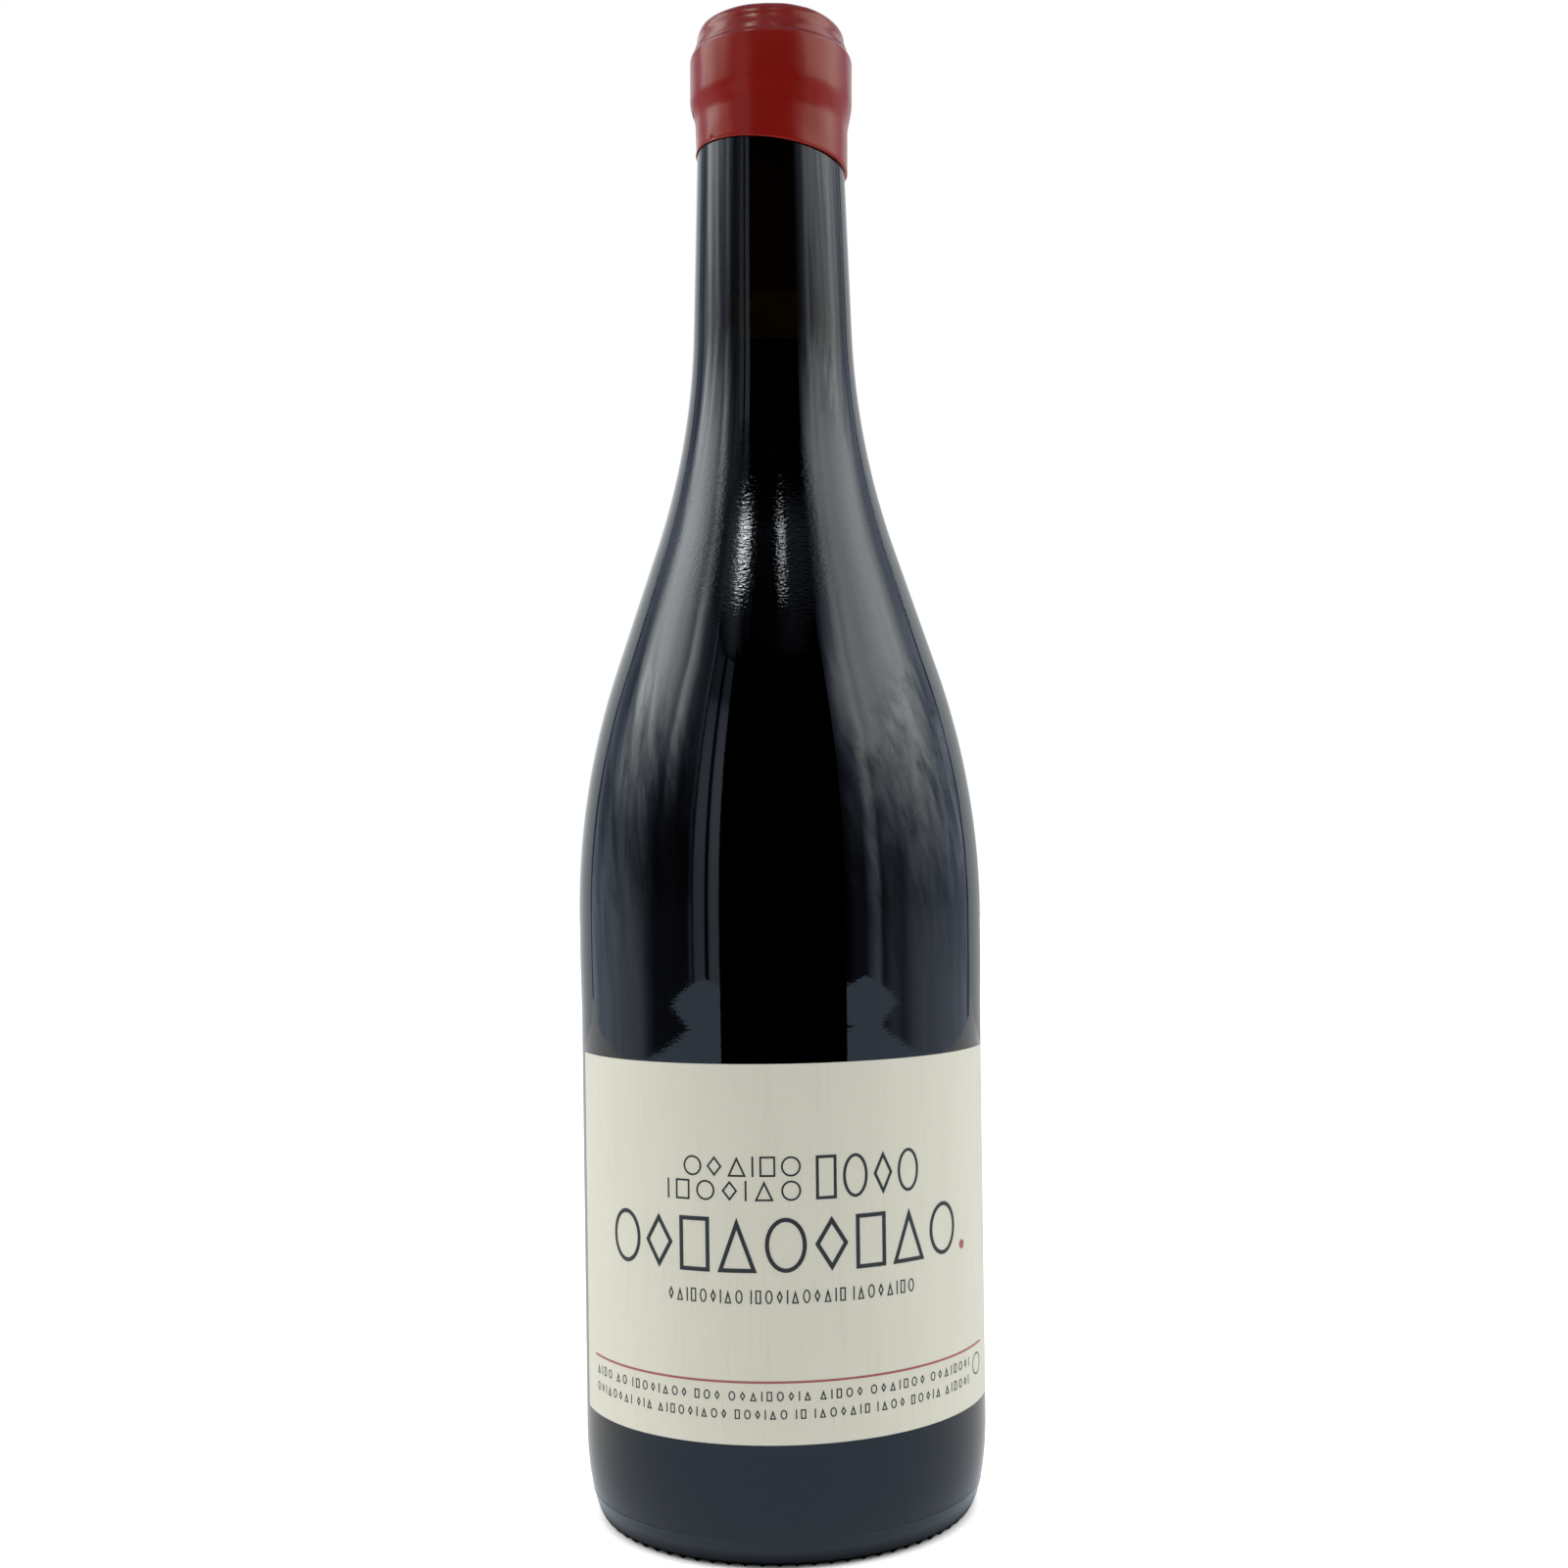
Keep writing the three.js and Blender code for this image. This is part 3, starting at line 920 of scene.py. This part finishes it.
# %% Black print
INK_RELIEF = 0.03 * MM
INK_SINK = 0.004 * MM  # into the paper, so that no gap shows under it
INK_STRIP = 1.2 * MM


def print_on_label(piece):
    cut_upright(piece, INK_STRIP)
    thicken(piece, INK_RELIEF)
    wrap(piece, LABEL_RADIUS + LABEL_THICKNESS - INK_SINK)


BLACK_ROWS = (  # marks, then left, right, base, height and line in mm, then how narrow they are
    ("ovutovuto", -38.5, 35.7, 54.8, 10, 0.78, 0.78),
    ("uovo", 4.2, 25.3, 67.9, 8, 0.56, 0.62),
    (words((6,), 0), -20.6, 1.5, 72.2, 3.7, 0.36, 1.0),
    (words((7,), 3), -24.1, 1.5, 67.8, 3.7, 0.36, 1.0),
    (words((9, 11, 8), 1), -24.2, 23.9, 49.2, 2.5, 0.27, 0.56),
    (words((4, 2, 8, 3, 9, 5, 7, 8), 2), -46.5, 40.9, 31.6, 1.75, 0.24, 0.75),
    (words((8, 3, 9, 6, 2, 7, 4, 5, 6), 5), -46.5, 40.6, 28.3, 1.75, 0.24, 0.72),
    ("o", 42.8, 47.0, 29.0, 4.3, 0.3, 1.0),
)
black_marks = []
for pattern, *sizes, narrow in BLACK_ROWS:
    black_marks += row_of_marks(pattern, *(size * MM for size in sizes), narrow)
black_print = join_marks("label_print_black", black_marks)
print_on_label(black_print)

# %% Red print
RULE_HALF_ANGLE = math.radians(67.75)
RULE_HEIGHT = 35.0 * MM
RULE_LINE = 0.42 * MM
DOT_SIZE = 1.8 * MM
DOT_PLACE = (38.4 * MM, 0, 55.6 * MM)
rule = flat_plate("rule", 2 * RULE_HALF_ANGLE * LABEL_RADIUS, RULE_LINE, (0, RULE_HEIGHT))
deselect()
bpy.ops.mesh.primitive_circle_add(
    vertices=32,
    radius=DOT_SIZE / 2,
    fill_type="NGON",
    location=DOT_PLACE,
    rotation=(math.radians(90), 0, 0),
)
dot = bpy.context.active_object
red_print = join_marks("label_print_red", [rule, dot])
print_on_label(red_print)

# %% Ink finishes
for piece, name, dark, light in (
    (black_print, "black_ink", (0.012, 0.011, 0.010), (0.03, 0.028, 0.026)),
    (red_print, "red_ink", (0.30, 0.06, 0.06), (0.42, 0.10, 0.10)),
):
    ink_material, tree, shader = new_material(name, Roughness=0.45)
    cover = noise(tree, 1500, 3.0)
    paint(tree, shader, cover, dark, light)
    bump(tree, shader, cover, 0.004 * MM)
    dress(piece, ink_material, None)
    print(piece.name, "faces", len(piece.data.polygons))

# %% [markdown]
# The floor is a wide white sheet that gives off light of its own, except close round the foot of
# the bottle, where its glow fades out: a painted shadow, which the bottle's real shadow deepens.
# What the glass mirrors of it is a darker sheet that lies just below and shows in reflections only:
# slate blue in front, as in the heel, and plain grey behind. Its glow fades out round the foot as
# well, a painted shadow in the reflection. A white world stands behind it all.


# %% Stage helpers
def hide_from(piece, *rays):
    """Leave a piece out of what these kinds of rays see."""
    for ray in rays:
        setattr(piece, "visible_" + ray, False)


def level_sheet(name, size, height, material):
    """A square sheet across the axis, as part of the stage."""
    deselect()
    bpy.ops.mesh.primitive_plane_add(size=size, location=(0, 0, height))
    sheet = name_piece(bpy.context.active_object, name)
    sheet.data.materials.append(material)
    return sheet


def light_beyond(tree, shader, strength, start, end, interpolation):
    """Light of its own that rises from nothing between two distances from the axis."""
    place = add_node(tree, "ShaderNodeTexCoord")
    reach = add_node(tree, "ShaderNodeVectorMath", operation="LENGTH")
    tree.links.new(place.outputs["Object"], reach.inputs[0])
    lit = spread(tree, reach.outputs["Value"], 0.0, strength, start, end, interpolation)
    tree.links.new(lit, shader.inputs["Emission Strength"])


# %% Floor and world
FLOOR_SIZE = 8
FLOOR_GLOW = 0.72
MIRROR_SIZE = 1.8
MIRROR_GLOW = 0.82
MIRROR_HEIGHT = -1 * MM
SHADOW_START = 35 * MM
SHADOW_END = 39.5 * MM
MIRROR_START = 37 * MM
MIRROR_END = 42 * MM
SLATE_END = -60 * MM  # towards the camera from the axis
GREY_START = 20 * MM

floor_material, tree, shader = new_material(
    "white_floor", Base_Color=(0.84, 0.79, 0.72, 1), Roughness=0.9, Emission_Color=(1, 1, 1, 1)
)
# The glow fades to nothing close round the foot: a painted shadow, deepened by the real one.
light_beyond(tree, shader, FLOOR_GLOW, SHADOW_START, SHADOW_END, "SMOOTHSTEP")
floor = level_sheet("floor", FLOOR_SIZE, 0, floor_material)
hide_from(floor, "glossy")

mirrored_material, tree, shader = new_material(
    "slate_floor", Base_Color=(0, 0, 0, 1), Roughness=1.0
)
# This glow fades out close round the foot too: a painted shadow in what the glass mirrors.
light_beyond(tree, shader, MIRROR_GLOW, MIRROR_START, MIRROR_END, "LINEAR")
behind = spread(tree, along(tree, "Y"), 0.0, 1.0, SLATE_END, GREY_START)
paint(tree, shader, behind, (0.7, 0.93, 1.22), (0.9, 0.92, 0.94), "Emission Color")
mirrored_floor = level_sheet("mirrored_floor", MIRROR_SIZE, MIRROR_HEIGHT, mirrored_material)
hide_from(mirrored_floor, "camera", "diffuse", "transmission")

world = bpy.context.scene.world or bpy.data.worlds.new("studio")
bpy.context.scene.world = world
world.use_nodes = True
backdrop = world.node_tree.nodes["Background"]
backdrop.inputs["Color"].default_value = (1, 1, 1, 1)
backdrop.inputs["Strength"].default_value = 1.0

# %% [markdown]
# Dark glass is lit by what it mirrors. A ring of tall screens stands round the bottle: the dark of
# the room behind the camera gives the black core, a draped window on each side, brighter towards
# the top, gives the pale bands, and the bars of a window frame give the pair of strips on the left.
# The camera sees none of them, and they show in gloss alone. A screen is a bent plate. Its light is
# the sum of layers, each a rise of light with elevation times a spread of light across azimuth.
# Both are short lists of (angle, level). Azimuths count from the camera's side to the right. Sway
# and hang say how far the cloth pushes an edge about, across and up, as shares of the screen.

# %% Screen dimensions
SCREEN_RADIUS = 8
SCREEN_AIM = 0.15  # height of the point that sees these elevations
SCREEN_HEAD = 52  # degrees of elevation
SLATE = (0.66, 0.88, 1.24)
NEUTRAL = (0.94, 1.0, 1.05)
NEUTRAL_LEVEL = 1.6  # light this strong has lost the slate tint
FOLD_REACH = [(-4, 0.4), (4, 1.0), (24, 1.0), (31, 0.15)]  # how much the folds show, by elevation


def height_at(elevation):
    return SCREEN_AIM + SCREEN_RADIUS * math.tan(math.radians(elevation))


# %% Screen light
def cloth(tree, across, up, lean, start):
    """Noise over a screen: so many waves across and up it, leaning by an angle in degrees."""
    place = add_node(tree, "ShaderNodeTexCoord")
    stretch = add_node(
        tree,
        "ShaderNodeMapping",
        vector_type="TEXTURE",
        in_Location=(start, 0, 0),
        in_Rotation=(0, 0, math.radians(lean)),
        in_Scale=(1 / across, 1 / up, 1),
    )
    tree.links.new(place.outputs["UV"], stretch.inputs["Vector"])
    texture = add_node(tree, "ShaderNodeTexNoise", in_Scale=1.0, in_Detail=4.0, in_Distortion=0.8)
    tree.links.new(stretch.outputs["Vector"], texture.inputs["Vector"])
    return place.outputs["UV"], texture


def drape(tree, sway, hang, start):
    """The screen's own coordinates, pushed about as a hanging cloth would push an edge."""
    plain, texture = cloth(tree, 12, 7, 20, start)
    push = add_node(tree, "ShaderNodeVectorMath", operation="MULTIPLY_ADD")
    tree.links.new(texture.outputs["Color"], push.inputs[0])
    push.inputs[1].default_value = (sway, hang, 0)
    tree.links.new(plain, push.inputs[2])
    centred = add_node(tree, "ShaderNodeVectorMath", operation="SUBTRACT")
    tree.links.new(push.outputs[0], centred.inputs[0])
    centred.inputs[1].default_value = (sway / 2, hang / 2, 0)
    return separate(tree, centred.outputs[0], "X"), separate(tree, centred.outputs[0], "Y")


def folded(tree, strength, depth, start):
    """Broad slanting folds in a light, and the thin creases between them, so deep."""
    _, broad = cloth(tree, 16, 6, 50, start)
    shade = spread(tree, broad.outputs["Fac"], -1.0, 1.0, 0.38, 0.62)
    _, fine = cloth(tree, 26, 8, 50, start + 1)
    centred = combine(tree, "SUBTRACT", fine.outputs["Fac"], 0.5)
    off_crease = combine(tree, "ABSOLUTE", centred, 0.0)
    crease = spread(tree, off_crease, -1.0, 0.0, 0.0, 0.02)
    deep = combine(tree, "MULTIPLY", combine(tree, "ADD", shade, crease), depth)
    return combine(tree, "MULTIPLY", strength, combine(tree, "ADD", deep, 1.0))


def glow(name, layers, azimuths, heights, sway=0.0, hang=0.0, folds=0.0, slate=SLATE):
    """The light of a screen: its layers added up, times the folds of the cloth."""
    material = bpy.data.materials.new(name)
    material.use_nodes = True
    tree = material.node_tree
    tree.nodes.clear()
    across, up = drape(tree, sway, hang, azimuths[0])
    foot, height = heights[0], heights[1] - heights[0]
    width = azimuths[1] - azimuths[0]
    strength = 0.0
    for rise, spread_out in layers:
        peak = max(level for _, level in rise)
        stops = [((height_at(angle) - foot) / height, level / peak) for angle, level in rise]
        climb = levels(tree, up, stops)
        widest = max(share for _, share in spread_out)
        stops = [((a - azimuths[0]) / width, share / widest) for a, share in spread_out]
        layer = combine(tree, "MULTIPLY", climb, levels(tree, across, stops))
        layer = combine(tree, "MULTIPLY", layer, peak * widest)
        strength = combine(tree, "ADD", layer, strength)
    if folds:
        stops = [((height_at(a) - foot) / height, share * folds) for a, share in FOLD_REACH]
        strength = folded(tree, strength, levels(tree, up, stops), azimuths[0])
    light = add_node(tree, "ShaderNodeEmission")
    paleness = combine(tree, "DIVIDE", strength, NEUTRAL_LEVEL)
    paint(tree, light, paleness, slate, NEUTRAL, "Color")
    tree.links.new(strength, light.inputs["Strength"])
    ends = add_node(tree, "ShaderNodeOutputMaterial")
    tree.links.new(light.outputs[0], ends.inputs["Surface"])
    return material


# %% Screens
STRIP_ANGLE = math.radians(4)


def screen(name, azimuths, elevations, layers, radius=SCREEN_RADIUS, **looks):
    """A bent plate between two azimuths and two elevations, in degrees."""
    foot_and_head = [height_at(angle) for angle in elevations]
    scale = radius / SCREEN_RADIUS
    heights = [SCREEN_AIM + (height - SCREEN_AIM) * scale for height in foot_and_head]
    sweep = math.radians(azimuths[1] - azimuths[0])
    plate = flat_plate(name, sweep * radius, heights[1] - heights[0], (0, sum(heights) / 2))
    cut_upright(plate, STRIP_ANGLE * radius)
    wrap(plate, radius)
    middle = math.radians(sum(azimuths) / 2) + CAMERA_SIDE
    edit_all(plate)
    bpy.ops.transform.rotate(value=-middle, orient_axis="Z", center_override=(0, 0, 0))
    bpy.ops.mesh.flip_normals()
    leave_edit()
    plate.data.materials.append(glow(name, layers, azimuths, foot_and_head, **looks))
    hide_from(plate, "camera", "transmission")
    return plate


GROUND = -8  # elevation of a screen's foot, well below what the bottle mirrors

# %% [markdown]
# Left of the camera: a grey edge of the room, then the draped window, whose light thins out towards
# the front, a bright slit beside it, and the two bars of the frame with a dark gap between them.

# %% Left side
left_low = [
    [(GROUND, 0.8), (-3, 0.75), (0, 0.66), (5, 0.5), (12, 0.48), (20, 0.5), (30, 0.8), (52, 0.8)],
    [
        (-137, 1.0), (-136, 1.0), (-135.2, 0.2), (-134.2, 0.2), (-133.2, 1.1), (-126, 0.8),
        (-119, 1.0), (-96, 1.0), (-88, 0.85), (-84, 0.6), (-80, 0.3), (-75, 0.1),
        (-58, 0.08), (-53, 0.08), (-51.4, 0.35), (-50.6, 0.35), (-50, 0.1),
    ],
]
left_high = [
    [(9, 0.0), (12, 0.25), (15, 0.75), (20, 1.35), (25, 2.6), (30, 3.2), (52, 4.0)],
    [
        (-120, 0.0), (-115, 0.5), (-110, 1.0), (-95, 1.0), (-90, 0.8), (-86, 0.55),
        (-80, 0.32), (-76, 0.1), (-73, 0.12), (-71.3, 0.3), (-69.5, 0.3),
        (-67, 0.12), (-62, 0.04), (-50, 0.02),
    ],
]
left_top = [
    [(15, 0.0), (20, 0.4), (25, 1.1), (30, 1.9), (37, 1.8), (42, 0.6), (52, 0.6)],
    [
        (-90, 0.0), (-84, 0.4), (-77, 0.5), (-74, 0.45), (-72, 1.0), (-69, 1.0),
        (-66, 0.7), (-62, 0.16), (-57, 0.04), (-50, 0.04),
    ],
]
bars = [
    [
        (GROUND, 0.6), (0, 0.62), (15, 0.76), (25, 0.72), (32, 0.58), (34, 0.25),
        (42, 0.2), (45, 0.5), (52, 0.5),
    ],
    [
        (-50, 0.1), (-49.6, 0.1), (-48.8, 0.8), (-46, 0.9), (-43.0, 0.88), (-42.1, 0.04),
        (-40.7, 0.04), (-39.8, 0.9), (-38, 1.12), (-35, 1.08), (-33.6, 0.6), (-32.6, 0.0),
    ],
]
FULL_HEIGHT = (GROUND, SCREEN_HEAD)
curtain = {"hang": 0.13, "folds": 0.28}
left_layers = [left_low, left_high, left_top]
screen("left_window", (-137, -50), FULL_HEIGHT, left_layers, sway=0.03, **curtain)
screen("left_frame", (-50, -32.6), FULL_HEIGHT, [bars])

# %% [markdown]
# Right of the camera: a dim stretch, a pale upright strip, and then the wide draped window. A thin
# dark line stands at the far edge of both sides, and the room behind the bottle is plain grey.

# %% Right side and rear
right_low = [
    [(GROUND, 0.7), (-3, 0.6), (0, 0.5), (5, 0.7), (20, 0.7), (30, 0.6), (52, 0.6)],
    [
        (35, 0.02), (38, 0.06), (42, 0.18), (48, 0.16), (50, 0.5), (53, 1.15), (55.5, 1.35),
        (57, 0.8), (58.5, 0.2), (64, 0.6), (72, 0.4), (79, 0.9), (90, 1.1), (118, 1.05),
        (132.4, 1.0), (133.3, 0.2), (134.4, 0.2), (135.2, 1.0), (136, 1.0),
    ],
]
right_high = [
    [(5, 0.0), (10, 0.25), (15, 0.8), (20, 1.4), (25, 2.3), (31, 2.5), (52, 2.4)],
    [
        (35, 0.03), (40, 0.06), (44, 0.12), (48, 0.25), (50, 0.35), (54, 0.65), (57, 0.4),
        (60, 0.5), (64, 0.8), (74, 0.75), (84, 0.95), (94, 1.1), (104, 1.0), (109, 0.6),
        (116, 0.3), (121, 0.05), (136, 0.0),
    ],
]
right_top = [
    [(21, 0.0), (25, 0.8), (30, 1.1), (35, 1.2), (40, 1.1), (44, 0.25), (52, 0.25)],
    [
        (35, 0.0), (55, 0.0), (57, 0.6), (60, 1.0), (63, 0.6), (66, 0.35),
        (74, 0.4), (84, 0.1), (94, 0.0),
    ],
]
right_head = [
    [(25, 0.0), (30, 0.8), (35, 1.25), (39, 1.1), (42, 0.35), (44, 0.1), (52, 0.1)],
    [(35, 0.08), (38, 0.25), (41, 0.6), (44, 1.0), (50, 1.0), (54, 0.5), (58, 0.0)],
]
rear = [
    [(GROUND, 0.62), (0, 0.62), (10, 0.68), (20, 0.85), (40, 1.0), (52, 1.0)],
    [(136, 1.1), (150, 1.0), (165, 0.85), (195, 1.3), (210, 1.08), (223, 1.0)],
]
right_layers = [right_low, right_high, right_top, right_head]
screen("right_window", (35, 136), FULL_HEIGHT, right_layers, sway=0.025, **curtain)
screen("rear_wall", (136, 223), FULL_HEIGHT, [rear], slate=NEUTRAL)

# %% [markdown]
# In front the room is black up to a round-headed edge, above which a little grey light comes down.
# Soft lamps high in front give the long streaks on the slope of the shoulder.

# %% Front
FLAG_RADIUS = 0.6
FLAG_FOOT = -16  # below the floor at that radius
HEAD_RADIUS = 7.7
LAMP_RADIUS = 7.4
CEILING_SIZE = 24
nothing = [[(FLAG_FOOT, 0.001), (42, 0.001)], [(-33, 1), (35, 1)]]
flag = screen("front_flag", (-33, 35), (FLAG_FOOT, 42), [nothing], radius=FLAG_RADIUS)
flag.visible_transmission = True  # it darkens what shows through the glass, too
head = [
    [(40, 0.0), (43, 0.0), (47, 0.5), (52, 0.5)],
    [(-33, 1.0), (-27, 0.8), (-23, 0.08), (-2, 0.06), (12, 0.5), (35, 0.5)],
]
screen("front_head", (-33, 35), (40, SCREEN_HEAD), [head], radius=HEAD_RADIUS)
haze = [
    [(41, 0.0), (44, 0.6), (47, 0.6), (54, 0.5)],
    [(-62, 0.1), (-57, 0.4), (-51, 1.0), (-38, 1.0), (-33, 0.3), (-28, 0.0)],
]
lamp_low = [
    [(41, 0.0), (43.8, 0.0), (45.4, 14), (54, 14)],
    [(-62, 0.0), (-47, 0.0), (-44, 0.1), (-41, 0.5), (-38, 0.7), (-34, 0.0), (-28, 0.0)],
]
lamp_high = [
    [(41, 0.0), (45.4, 0.0), (47, 17), (54, 17)],
    [(-62, 0.0), (-42, 0.0), (-38, 0.7), (-34, 1.0), (-30, 0.5), (-28, 0.0)],
]
screen("lamp_left", (-62, -28), (41, 54), [haze, lamp_low, lamp_high], radius=LAMP_RADIUS)
lamp = [
    [(45.5, 0.0), (46.4, 0.0), (47.6, 8), (54, 9)],
    [(1, 0.0), (5.5, 1.0), (9, 0.8), (12, 0.0)],
]
screen("lamp_right", (1, 12), (45.5, 54), [lamp], radius=LAMP_RADIUS)

ceiling_light = [([(0, 0.4), (40, 0.4)], [(0, 1), (1, 1)])]
ceiling_glow = glow("ceiling", ceiling_light, (0, 1), (0, height_at(40)))
ceiling = level_sheet("ceiling", CEILING_SIZE, height_at(SCREEN_HEAD), ceiling_glow)
hide_from(ceiling, "camera", "transmission")

# %% [markdown]
# One soft light from the left brightens the label and the wax on that side, as the window does. It
# doesn't show in the gloss, because the screens already stand there.

# %% Window light
FILL_AZIMUTH = math.radians(-80)
FILL_DISTANCE = 1.5
FILL_HEIGHT = 0.6
FILL_TILT = math.radians(72)
bpy.ops.object.light_add(
    type="AREA",
    radius=1.0,
    location=(
        FILL_DISTANCE * math.sin(FILL_AZIMUTH),
        -FILL_DISTANCE * math.cos(FILL_AZIMUTH),
        FILL_HEIGHT,
    ),
    rotation=(FILL_TILT, 0, FILL_AZIMUTH),
)
fill = bpy.context.active_object
fill.data.energy = 3.2
fill.data.color = (1.0, 1.0, 0.97)
hide_from(fill, "camera", "glossy", "transmission")
